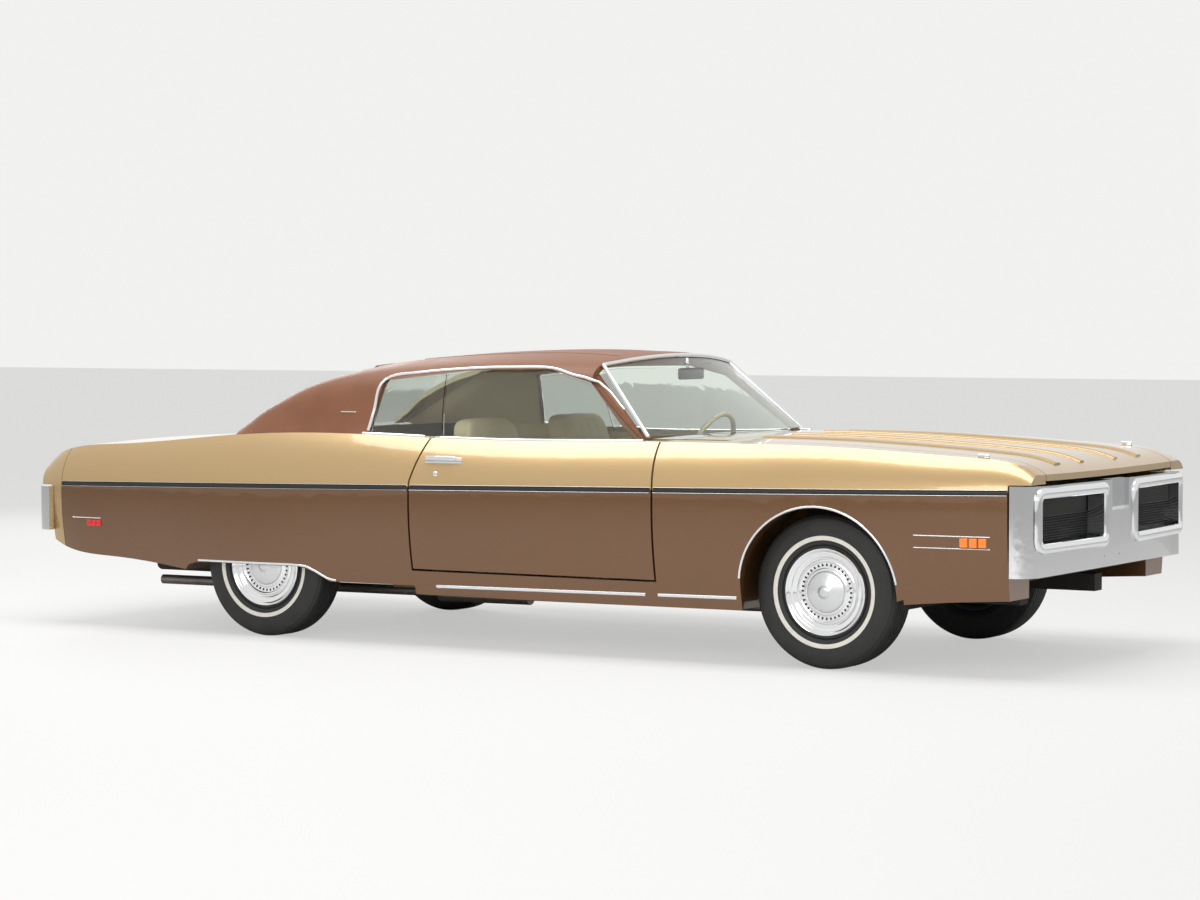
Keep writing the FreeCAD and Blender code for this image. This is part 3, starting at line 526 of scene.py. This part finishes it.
for end in ("front", "rear"):
    for side in SIDES:
        centre, sign = wheel_at(end, side)
        body = "%s_wheel_%s" % (end, side)
        profile = outer_sidewall + tread_half
        profile = profile + [(r, -out) for r, out in reversed(profile)]
        tyre = spun("%s_tyre_%s_skin" % (end, side), profile, centre, sign, [rubber, white_rubber], body)
        paint_ring(tyre, centre, sign)
        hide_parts("%s_tyre_%s" % (end, side))
        rim = skin_of("%s_wheel_%s" % (end, side), satin_black)
print("tyre faces:", len(tyre.data.polygons))

# %% [markdown]
# ## Wheel covers
# Each cover is a stepped disc of polished steel: a bright outer lip, a dark channel with a row of small slots,
# and a cone of brushed metal in the middle.

# %% Spin the covers
cover_profile = [
    (0.1955, 0.084), (0.1975, 0.090), (0.193, 0.0945), (0.186, 0.0925), (0.180, 0.084), (0.172, 0.081),
    (0.166, 0.084), (0.160, 0.0835), (0.154, 0.076), (0.147, 0.0735), (0.141, 0.078), (0.136, 0.0785), (0.130, 0.071),
    (0.112, 0.069), (0.104, 0.0745), (0.099, 0.0785), (0.094, 0.0775),
]
cone_profile = [
    (0.0945, 0.076), (0.092, 0.0805), (0.084, 0.0835), (0.060, 0.0905), (0.036, 0.0965), (0.026, 0.0985),
    (0.024, 0.1015), (0.012, 0.1035), (0.0004, 0.1040),
]
SLOT_COUNT = 36
SLOT_RADIUS = 0.121


def slot_ring(name, centre, sign, body):
    """A row of small dark slots round the cover."""
    work = bmesh.new()
    for k in range(SLOT_COUNT):
        turn = math.tau * k / SLOT_COUNT
        made = bmesh.ops.create_cube(work, size=1.0)["verts"]
        bmesh.ops.scale(work, vec=(0.0085, 0.004, 0.013), verts=made)
        bmesh.ops.translate(work, vec=(0, 0, SLOT_RADIUS), verts=made)
        for vert in made:
            x, z = vert.co.x, vert.co.z
            vert.co.x = x * math.cos(turn) + z * math.sin(turn)
            vert.co.z = z * math.cos(turn) - x * math.sin(turn)
        bmesh.ops.translate(work, vec=centre + Vector((0, sign * 0.0685, 0)), verts=made)
    return link(name, work, satin_black, body)


for end in ("front", "rear"):
    for side in SIDES:
        centre, sign = wheel_at(end, side)
        body = "%s_wheel_%s" % (end, side)
        tag = "%s_%s" % (end, side)
        cover = spun("wheel_cover_" + tag, cover_profile, centre, sign, chrome, body, math.radians(50), close=False)
        cone = spun("wheel_cone_" + tag, cone_profile, centre, sign, brushed, body, math.radians(50), close=False)
        slots = slot_ring("wheel_slots_" + tag, centre, sign, body)
print("wheel covers spun")

# %% [markdown]
# ## Seats
# The seats are padded vinyl with high backs. Each starts as a rounded block that a grid of sewn channels pulls in,
# with its crown highest between the seams.

# %% Pad the seats
def pad(name, low, high, lean, channels, body, across_back=False):
    """A crowned cushion between two corners; lean shifts its top rearwards, and channels are sewn grooves."""
    work = bmesh.new()
    bmesh.ops.create_cube(work, size=2.0)
    bmesh.ops.subdivide_edges(work, edges=work.edges, cuts=23, use_grid_fill=True)
    centre = (Vector(low) + Vector(high)) / 2
    half = (Vector(high) - Vector(low)) / 2
    for vert in work.verts:
        u, v, w = vert.co
        power = 6.0
        length = (abs(u) ** power + abs(v) ** power + abs(w) ** power) ** (1 / power)
        u, v, w = u / length, v / length, w / length
        crown = (1 - v * v) * (1 - (w * w if across_back else u * u))
        groove = abs(math.cos(math.pi * channels * (v + 1) / 2)) ** 14
        swell = 1.0 + 0.06 * crown - 0.07 * groove * max(0.0, 1 - abs(v) ** 6)
        if across_back:
            u *= swell
        else:
            w *= swell
        spot = centre + Vector((u * half.x * 0.94, v * half.y * 0.98, w * half.z * 0.97))
        spot.x -= lean * (w + 1) / 2
        vert.co = spot
    shade(work, math.radians(60))
    piece = link(name, work, seat_vinyl, body)
    return piece


seat_low, seat_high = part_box("front_seats")
seat_half_gap = 0.20
cushion_top = 0.53
front_pieces = []
for side, sign in (("left", 1), ("right", -1)):
    inner, outer = sorted((sign * seat_half_gap, sign * seat_high[1]))
    cushion = pad(
        "front_cushion_" + side, (seat_high[0] - 0.53, inner, 0.33), (seat_high[0], outer, cushion_top), 0.0, 6, "body",
    )
    back = pad(
        "front_back_" + side, (seat_low[0] + 0.165, inner, 0.44), (seat_low[0] + 0.30, outer, seat_high[2]),
        0.15, 6, "body", True,
    )
    front_pieces += [cushion, back]
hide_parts("front_seats")
rear_low, rear_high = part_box("rear_seat")
rear_cushion = pad(
    "rear_cushion", (rear_high[0] - 0.44, rear_low[1], 0.37), (rear_high[0], rear_high[1], 0.535), 0.0, 14, "body",
)
rear_back = pad(
    "rear_back", (rear_low[0] + 0.06, rear_low[1], 0.46), (rear_low[0] + 0.19, rear_high[1], rear_high[2]),
    0.05, 14, "body", True,
)
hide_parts("rear_seat")
print("seat cushions:", len(front_pieces) + 2)

# %% [markdown]
# ## Trim, lamps and cabin details
# The bright lines are what makes the car: frames round the glass, the sill, the wheel arch and the two large
# bumper openings. Each is a small outline carried along the edge that it trims.

# %% Bright frames round the side glass
FX = front_wheel_joint.x
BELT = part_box("door_left")[1][2]
window_line = [
    (FX - 2.488, 1.012), (FX - 2.478, 1.120), (FX - 2.456, 1.258), (FX - 2.250, 1.294), (FX - 1.954, 1.316),
    (FX - 1.740, 1.322), (FX - 1.540, 1.321), (FX - 1.410, 1.292), (FX - 1.275, 1.256), (FX - 1.120, 1.130),
    (FX - 0.985, 1.020),
]


def eased(points, parts=8):
    """A smooth run of places through the points."""
    places = []
    for i in range(len(points) - 1):
        p0 = Vector(points[max(i - 1, 0)])
        p1 = Vector(points[i])
        p2 = Vector(points[i + 1])
        p3 = Vector(points[min(i + 2, len(points) - 1)])
        for k in range(parts):
            t = k / parts
            place = p1 * 2 + (p2 - p0) * t + (p0 * 2 - p1 * 5 + p2 * 4 - p3) * t * t
            place += (p1 * 3 - p0 - p2 * 3 + p3) * t ** 3
            places.append(place / 2)
    places.append(Vector(points[-1]))
    return places


for side, sign in (("left", 1), ("right", -1)):
    path = []
    for spot in eased(window_line, 5):
        found = on_side("roof", spot[0], spot[1], sign)
        if found and 0.5 < abs(found[0].y) < 0.9:
            path.append((found[0], Vector((0, sign, 0.3)).normalized()))
    frame_piece = sweep("window_frame_" + side, path, half_round(0.016, 0.008, 0.004), chrome, "body")
    for node in ("door_" + side, "quarter_panel_" + side):
        x0, x1 = span(node)
        if node.startswith("door_"):
            x1 = FX - 0.94
        else:
            x0, x1 = FX - 2.50, span("door_" + side)[0] - 0.01
        sill = []
        for k in range(25):
            x = x0 + trim_inset + (x1 - x0 - 2 * trim_inset) * k / 24
            found = hit(node, (x, sign * 0.845, 1.5), (0, 0, -1))
            if found:
                sill.append((found[0], Vector((0, 0, 1))))
        rail = sweep("belt_rail_" + node, sill, half_round(0.016, 0.010, 0.004), chrome, nodes[node]["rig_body"])
print("window frames laid")

# %% Windscreen frame, pillar bar, roof seams and hood ridges
for side, sign in (("left", 1), ("right", -1)):
    foot = Vector((FX - 0.956, sign * 0.776, 1.010))
    head = Vector((FX - 1.286, sign * 0.622, 1.337))
    path = [(foot.lerp(head, k / 12), Vector((0.65, sign * 0.2, 0.73))) for k in range(13)]
    sweep("screen_pillar_trim_" + side, path, half_round(0.020, 0.009, 0.004), chrome, "body")
    bar = on_side("roof", FX - 2.626, 1.10, sign)
    path = [(bar[0] + Vector((0.045 * (k / 4 - 1), 0, 0)), bar[1]) for k in range(9)]
    sweep("pillar_bar_" + side, path, half_round(0.007, 0.004, 0.003), chrome, "body")
    seam = []
    for k in range(25):
        found = hit("roof", (FX - 1.33 - 1.10 * k / 24, sign * 0.40, 2.0), (0, 0, -1))
        seam.append(found)
    sweep("roof_seam_" + side, seam, half_round(0.010, 0.0025), roof_vinyl, "body")
    for name, y, width in (("inner", 0.16, 0.05), ("outer", 0.44, 0.07)):
        ridge = []
        low_x, high_x = span("hood")
        for k in range(37):
            x = low_x + 0.05 + (high_x - low_x - 0.11) * k / 36
            ridge.append(hit("hood", (x, sign * (y + 0.04 * k / 36), 2.0), (0, 0, -1)))
        piece = sweep("hood_ridge_%s_%s" % (name, side), ridge, half_round(width, 0.010, 0.002, 10), paint_top, "hood")
top_arc = []
for k in range(25):
    t = 2 * k / 24 - 1
    x = FX - 1.286 + 0.070 * (1 - t * t)
    top_arc.append((Vector((x, 0.622 * t, 1.337 + 0.040 * (1 - t * t))), Vector((0.65, 0, 0.73))))
sweep("screen_header_trim", top_arc, half_round(0.020, 0.009, 0.004), chrome, "body")

# %% Sill and wheel arch
def sill_height(x):
    """The height of the bright sill line."""
    return 0.290 + 0.0095 * (x - span("rocker_panels")[0])


rear_x = rear_wheel_joint.x
lip_points = [
    (rear_x - 0.355, 0.363), (rear_x, 0.364), (rear_x + 0.262, 0.363), (rear_x + 0.342, 0.343),
    (rear_x + 0.418, 0.306), (rear_x + 0.470, 0.296),
]
for side, sign in (("left", 1), ("right", -1)):
    x0, x1 = span("rocker_panels")
    path = side_path("rocker_panels", x0 + 0.002, x1 - 0.034, sill_height, sign)
    sweep("sill_trim_" + side, path, half_round(0.017, 0.006), chrome, "body")
    fender_x = span("door_" + side)[1] + 0.012
    path = side_path("front_fender_" + side, fender_x, FX - 0.40, sill_height, sign, 12)
    sweep("sill_trim_front_" + side, path, half_round(0.017, 0.006), chrome, "body")
    path = []
    for spot in eased(lip_points, 6):
        found = on_side("quarter_panel_" + side, spot[0], spot[1], sign)
        if found and abs(found[0].y) > 0.8:
            path.append(found)
    sweep("rear_lip_trim_" + side, path, half_round(0.012, 0.005), chrome, "body")
    path = []
    for k in range(41):
        turn = math.radians(8 + 164 * k / 40)
        x, z = FX + 0.384 * math.cos(turn), front_wheel_joint.z + 0.384 * math.sin(turn)
        found = on_side("front_fender_" + side, x, z, sign)
        if found and abs(found[0].y) > 0.8:
            path.append(found)
    sweep("arch_trim_" + side, path, half_round(0.011, 0.005), chrome, "body")


# %% A rounded block on a panel
def block(name, centre, size, material, body, bevel=0.003, sharp=30):
    """A block with rounded edges."""
    work = bmesh.new()
    bmesh.ops.create_cube(work, size=1.0)
    bmesh.ops.scale(work, vec=size, verts=work.verts)
    bmesh.ops.bevel(
        work, geom=work.edges[:], offset=min(bevel, min(size) * 0.45), segments=3, profile=0.5, affect="EDGES", material=-1,
    )
    bmesh.ops.translate(work, vec=centre, verts=work.verts)
    shade(work, math.radians(sharp))
    return link(name, work, material, body)


def on_panel(node, x, z, sign, lift):
    """A place a little proud of a side panel."""
    point, normal = on_side(node, x, z, sign)
    return point + normal * lift


# %% Handles, locks, markers and indicator studs
for side, sign in (("left", 1), ("right", -1)):
    door = "door_" + side
    fender = "front_fender_" + side
    quarter = "quarter_panel_" + side
    handle_x = FX - 1.963
    plate = block("handle_plate_" + side, on_panel(door, handle_x, 0.884, sign, 0.002), (0.205, 0.008, 0.034), chrome, door)
    grip = block("handle_grip_" + side, on_panel(door, handle_x - 0.01, 0.889, sign, 0.018), (0.170, 0.012, 0.018), chrome, door, 0.005)
    lock = block("door_lock_" + side, on_panel(door, FX - 1.988, 0.823, sign, 0.002), (0.024, 0.010, 0.024), chrome, door, 0.009)
    for low_z in (0.566, 0.619):
        path = side_path(fender, FX + 0.471, FX + 0.818, lambda x: low_z, sign, 12)
        sweep("marker_strip_%d_%s" % (low_z * 1000, side), path, half_round(0.006, 0.005), chrome, "body")
    for k in range(3):
        x = FX + 0.700 + 0.042 * k
        lamp = block("front_marker_%d_%s" % (k, side), on_panel(fender, x, 0.5925, sign, 0.001), (0.036, 0.012, 0.040), amber_lens, "body")
    path = side_path(quarter, FX - 4.201, FX - 4.015, lambda x: 0.551, sign, 8)
    sweep("rear_marker_strip_" + side, path, half_round(0.007, 0.006), chrome, "body")
    for k in range(3):
        x = FX - 4.092 + 0.030 * k
        lamp = block("rear_marker_%d_%s" % (k, side), on_panel(quarter, x, 0.525, sign, 0.001), (0.027, 0.012, 0.032), red_lens, "body")
    stud_place = hit(fender, (FX + 0.74, sign * 0.83, 2.0), (0, 0, -1))[0] + Vector((0, 0, 0.008))
    stud = block("fender_stud_" + side, stud_place, (0.055, 0.012, 0.020), chrome, "body", 0.005)

# %% The two bumper openings and what shows in them
bumper_low, bumper_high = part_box("front_bumper")


def front_x(y, z):
    """Where the bumper's face is at a place across and up."""
    found = hit("front_bumper", (4.0, y, z), (-1, 0, 0))
    return found[0].x


def rounded_box_path(y0, y1, z0, z1, radius, x_at, steps=8):
    """Places round a rounded rectangle on the bumper's face."""
    path = []
    corners = [(y1 - radius, z1 - radius, 0), (y0 + radius, z1 - radius, 90), (y0 + radius, z0 + radius, 180), (y1 - radius, z0 + radius, 270)]
    for cy, cz, start in corners:
        for k in range(steps + 1):
            turn = math.radians(start + 90 * k / steps)
            y, z = cy + radius * math.cos(turn), cz + radius * math.sin(turn)
            path.append((Vector((x_at(y), y, z)), Vector((1, 0, 0))))
    return path


def face_at(y):
    """The bumper's face below the openings."""
    return front_x(max(-0.87, min(0.87, y)), 0.562)


OPEN_IN, OPEN_OUT, OPEN_LOW, OPEN_TOP = 0.168, 0.842, 0.566, 0.806
for side, sign in (("left", 1), ("right", -1)):
    y0, y1 = sorted((sign * OPEN_IN, sign * OPEN_OUT))
    lip = rounded_box_path(y0, y1, OPEN_LOW, OPEN_TOP, 0.035, face_at)
    ring = sweep("loop_lip_" + side, lip, half_round(0.050, 0.016, 0.006, 10), chrome, "body", True)
    funnel_path = rounded_box_path(y0 + 0.026, y1 - 0.026, OPEN_LOW + 0.020, OPEN_TOP - 0.020, 0.020, lambda y: face_at(y) - 0.03)
    funnel = sweep("loop_funnel_" + side, funnel_path, [(0.03, 0.003), (0.03, -0.003), (-0.045, -0.009), (-0.045, 0.009)], chrome, "body", True)
    grille_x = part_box("grille")[1][0]
    middle = sign * (OPEN_IN + OPEN_OUT) / 2
    lamp_door = block("lamp_door_" + side, Vector((grille_x + 0.014, middle, 0.735)), (0.020, 0.600, 0.078), satin_black, "body", 0.006)
    for k in range(9):
        z = 0.596 + 0.0115 * k
        bar = block("grille_bar_%d_%s" % (k, side), Vector((grille_x + 0.010, middle, z)), (0.016, 0.620, 0.003), satin_black, "body", 0.001)
    for k in range(11):
        z = 0.702 + 0.0066 * k
        rib = block("lamp_door_rib_%d_%s" % (k, side), Vector((grille_x + 0.0255, middle, z)), (0.004, 0.590, 0.0028), underbody, "body", 0.001)
    lamp = block("tail_lamp_" + side, Vector((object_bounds()[0][0] + 0.026, sign * 0.565, 0.600)), (0.018, 0.460, 0.072), red_lens, "body", 0.006)
    frame_path = [
        (Vector((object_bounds()[0][0] + 0.014, p.y, p.z)), Vector((-1, 0, 0)))
        for p, _ in rounded_box_path(sign * 0.565 - 0.235, sign * 0.565 + 0.235, 0.560, 0.640, 0.015, lambda y: 0.0)
    ]
    sweep("tail_lamp_frame_" + side, frame_path, half_round(0.010, 0.004), chrome, "body", True)
# The plate takes a lens finish with emission, so it glows as painted light.
rear_plate = block("rear_plate", Vector((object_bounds()[0][0] + 0.0035, 0, 0.592)), (0.002, 0.305, 0.152), glowing_plate_finish, "body", 0.0009)

# %% The cabin: lining, mirror, instruments
mirror_place = Vector((FX - 1.165, 0, 1.285))
mirror = block("cabin_mirror", mirror_place, (0.022, 0.230, 0.055), satin_black, "body", 0.009)
stalk = block("mirror_stalk", mirror_place + Vector((-0.02, 0, 0.045)), (0.014, 0.018, 0.065), chrome, "body", 0.005)
dash_low, dash_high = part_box("dashboard")
cluster = block("instrument_pod", Vector((dash_low[0] - 0.006, 0.37, 0.87)), (0.03, 0.46, 0.12), satin_black, "body", 0.01)
for k in range(3):
    dial_centre = Vector((dash_low[0] - 0.024, 0.37 + 0.14 * (k - 1), 0.87))
    dial_work = bmesh.new()
    bmesh.ops.create_cone(dial_work, cap_ends=True, segments=40, radius1=0.046, radius2=0.042, depth=0.008)
    bmesh.ops.rotate(dial_work, cent=(0, 0, 0), matrix=Vector((1, 0, 0)).rotation_difference(Vector((0, 0, 1))).to_matrix().inverted(), verts=dial_work.verts)
    bmesh.ops.translate(dial_work, vec=dial_centre, verts=dial_work.verts)
    shade(dial_work)
    link("dial_%d" % k, dial_work, chrome, "body")
wood = block("dash_strip", Vector((dash_low[0] - 0.004, -0.22, 0.87)), (0.012, 0.62, 0.07), iron, "body", 0.004)


def line_inside(piece, sign, limit, lining, up=False):
    """Gives the faces that look into the cabin a lining."""
    mesh = piece.data
    mesh.materials.append(lining)
    count = 0
    for face in mesh.polygons:
        inward = face.normal.y * sign < -0.6 and abs(face.center.y) < limit
        if up:
            middle = Vector((face.center.x, 0, 0.9))
            inward = face.normal.dot(face.center - middle) < -0.05
        if inward:
            face.material_index = len(mesh.materials) - 1
            count += 1
    return count


for side, sign in (("left", 1), ("right", -1)):
    line_inside(skins["door_" + side], sign, 0.815, seat_vinyl)
    line_inside(skins["quarter_panel_" + side], sign, 0.805, seat_vinyl)
print("roof faces lined:", line_inside(skins["roof"], 1, 1.0, headliner, True))

# %% [markdown]
# ## The camera, the floor and the light
# The car is seen from its right front, low down and from far away, as with a long lens. The light is one broad
# soft panel above, with a weak pale room round it.

# %% Stage
EYE = Vector((8.2685, -13.94, 1.58))
LOOK = Vector((-0.5076, 0.8606, -0.0415))
camera = bpy.data.objects.new("camera", bpy.data.cameras.new("camera"))
camera.data.lens = 99.15
camera.data.sensor_width = 36.0
camera.location = EYE
camera.rotation_euler = LOOK.to_track_quat("-Z", "Y").to_euler()
bpy.context.scene.collection.objects.link(camera)
bpy.context.scene.camera = camera

floor_work = bmesh.new()
bmesh.ops.create_grid(floor_work, x_segments=2, y_segments=2, size=60.0)
floor_mesh = bpy.data.meshes.new("floor")
floor_work.to_mesh(floor_mesh)
floor_work.free()
floor = bpy.data.objects.new("floor", floor_mesh)
bpy.context.scene.collection.objects.link(floor)
floor_finish = Finish("pale_floor", (0.74, 0.74, 0.73), 0.7)
rays = floor_finish.node("ShaderNodeLightPath", {}, {}, "Is Camera Ray")
glow = floor_finish.node("ShaderNodeEmission", {}, {"Color": (0.93, 0.93, 0.92, 1.0), "Strength": 1.0})
lit = Flow(floor_finish, floor_finish.shader.outputs[0])
both = floor_finish.node("ShaderNodeMixShader", {}, {0: rays * 0.55, 1: lit, 2: glow})
floor_output = floor_finish.tree.nodes["Material Output"]
floor_finish.tree.links.new(both.socket, floor_output.inputs["Surface"])
floor_mesh.materials.append(floor_finish.material)


def softbox(name, place, target, size, power):
    """A broad soft lamp."""
    data = bpy.data.lights.new(name, "AREA")
    data.shape = "RECTANGLE"
    data.size, data.size_y = size
    data.energy = power
    lamp = bpy.data.objects.new(name, data)
    lamp.location = place
    lamp.rotation_euler = (Vector(target) - Vector(place)).to_track_quat("-Z", "Y").to_euler()
    bpy.context.scene.collection.objects.link(lamp)


softbox("overhead", (0.0, -1.0, 6.5), (0, 0, 0.6), (9.0, 3.5), 420)
softbox("side_fill", (3.0, -9.0, 4.0), (0, 0, 0.8), (8.0, 2.5), 260)
softbox("rear_fill", (-8.0, 6.0, 4.5), (0, 0, 0.8), (5.0, 3.0), 180)

world = bpy.data.worlds.new("studio")
world.use_nodes = True
bpy.context.scene.world = world
room = world.node_tree.nodes["Background"]
room.inputs["Color"].default_value = (0.93, 0.93, 0.92, 1.0)
path_node = world.node_tree.nodes.new("ShaderNodeLightPath")
level = world.node_tree.nodes.new("ShaderNodeMapRange")
level.inputs["To Min"].default_value = 0.55
level.inputs["To Max"].default_value = 0.95
seen = path_node.outputs["Is Camera Ray"]
for ray in ("Is Glossy Ray", "Is Transmission Ray"):
    either = world.node_tree.nodes.new("ShaderNodeMath")
    either.operation = "MAXIMUM"
    world.node_tree.links.new(seen, either.inputs[0])
    world.node_tree.links.new(path_node.outputs[ray], either.inputs[1])
    seen = either.outputs[0]
world.node_tree.links.new(seen, level.inputs["Value"])
world.node_tree.links.new(level.outputs["Result"], room.inputs["Strength"])
bpy.context.scene.view_settings.view_transform = "Standard"
